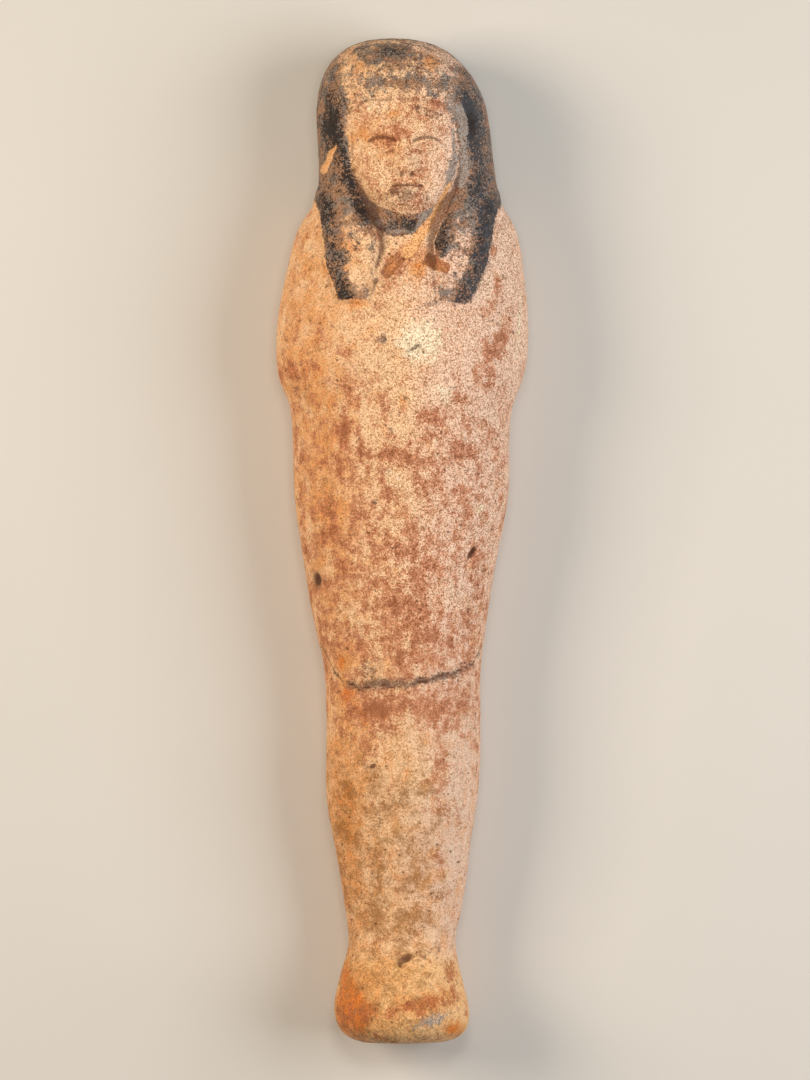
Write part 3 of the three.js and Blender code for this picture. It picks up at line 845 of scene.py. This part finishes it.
def worn_paint():
    """The whole figure's material: slip, paint, stains, specks, holes and flaked places."""
    material = bpy.data.materials.new("worn_painted_clay")
    n = Nodes(material)
    middle = n.wave(1.5, 1.5, detail=6.0, seed=2)
    jitter = n.scaled(Grains(n, 0.3, seed=5).first, 0.3, -0.15)
    streaks = n.wave(1.5, 0.9, detail=3.0, stretch=(1, 0.18, 1), seed=3)
    colour, worn = worn_slip(n, whole_slip(n, middle, streaks), middle, jitter, streaks)
    colour = dirty(n, colour, middle, jitter)
    colour, painted = wig_colour(n, colour, middle, jitter)
    wash = n.total(n.field("wash"), middle, jitter)
    colour = n.mix(n.step(wash, 0.3, 0.6, 0.92), colour, WASH_GREY)
    colour = flaked_off(n, colour, middle, jitter)
    colour = specked(n, colour, middle)
    colour = painted_shade_in_hollows(n, colour, middle, jitter)
    gloss = n.total(n.wave(4, 0.3, seed=18), n.scaled(worn, 0.12, 0.6))
    n.set(n.shader.inputs["Base Color"], colour)
    n.set(n.shader.inputs["Roughness"], gloss)
    n.set(n.shader.inputs["Specular IOR Level"], 0.35)
    n.set(n.shader.inputs["Normal"], grainy_bump(n, middle, worn, painted))
    return material


# ---- Floor, lights and camera, in metres ----
FLOOR_HALF = 3.0
CAMERA_DISTANCE = 8 * LENGTH * MM
STRIP_SEEN = 1.0755 * LENGTH * MM  # length of the strip that the picture's height takes in
CAMERA_ASIDE = 0.00066  # the camera stands this far to the figure's left of its middle


def plain_floor():
    """A pale floor under the figure, which is stage and not part of it."""
    mesh = bpy.data.meshes.new("floor")
    half = FLOOR_HALF
    corners = [(-half, -half, 0), (half, -half, 0), (half, half, 0), (-half, half, 0)]
    mesh.from_pydata(corners, [], [(0, 1, 2, 3)])
    material = bpy.data.materials.new("pale_floor")
    n = Nodes(material)
    tone = n.mix(n.noise(90), srgb(226, 222, 215), srgb(230, 226, 219))
    n.set(n.shader.inputs["Base Color"], tone)
    n.set(n.shader.inputs["Roughness"], 0.7)
    mesh.materials.append(material)
    floor = bpy.data.objects.new("floor", mesh)
    bpy.context.scene.collection.objects.link(floor)
    return floor


def soft_light(name, place, size, watts, colour):
    """A square lamp aimed at the middle of the figure."""
    lamp = bpy.data.lights.new(name, "AREA")
    lamp.size = size
    lamp.energy = watts
    lamp.color = colour
    holder = bpy.data.objects.new(name, lamp)
    holder.location = place
    aim = Vector((0, 0, THICKNESS / 2 * MM)) - Vector(place)
    holder.rotation_euler = aim.to_track_quat("-Z", "Y").to_euler()
    bpy.context.scene.collection.objects.link(holder)


def camera_above():
    """Looks straight down on the lying figure, with its head at the top of the picture."""
    middle = Vector((CAMERA_ASIDE, (LOW[1] + HIGH[1]) / 2 * MM, THICKNESS / 2 * MM))
    data = bpy.data.cameras.new("camera")
    data.lens = data.sensor_width * CAMERA_DISTANCE / STRIP_SEEN
    camera = bpy.data.objects.new("camera", data)
    camera.location = middle + Vector((0, 0, CAMERA_DISTANCE))
    bpy.context.scene.collection.objects.link(camera)
    bpy.context.scene.camera = camera


def studio():
    """A pale floor, a warm lamp and a whiter one from the sides, and a weak one from above.

    The lamps are called as the camera sees them, and "front" shines on the figure's front.
    """
    plain_floor()
    soft_light("left", (-0.55, 0.15, 0.5), 0.35, 3.6, (1.0, 0.84, 0.66))
    soft_light("right", (0.55, 0.02, 0.5), 0.5, 3.4, (1.0, 0.99, 0.98))
    soft_light("front", (0.01, 0.07, 0.6), 0.1, 0.5, (1.0, 0.97, 0.9))
    world = bpy.data.worlds.new("world")
    world.use_nodes = True
    sky = world.node_tree.nodes["Background"]
    sky.inputs["Color"].default_value = (0.9, 0.95, 1.0, 1)
    sky.inputs["Strength"].default_value = 0.1
    bpy.context.scene.world = world
    bpy.context.scene.view_settings.view_transform = "Standard"


camera_above()
studio()
figurine = painted_figurine()
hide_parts("figurine")
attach(figurine, "root")

bpy.context.view_layer.update()
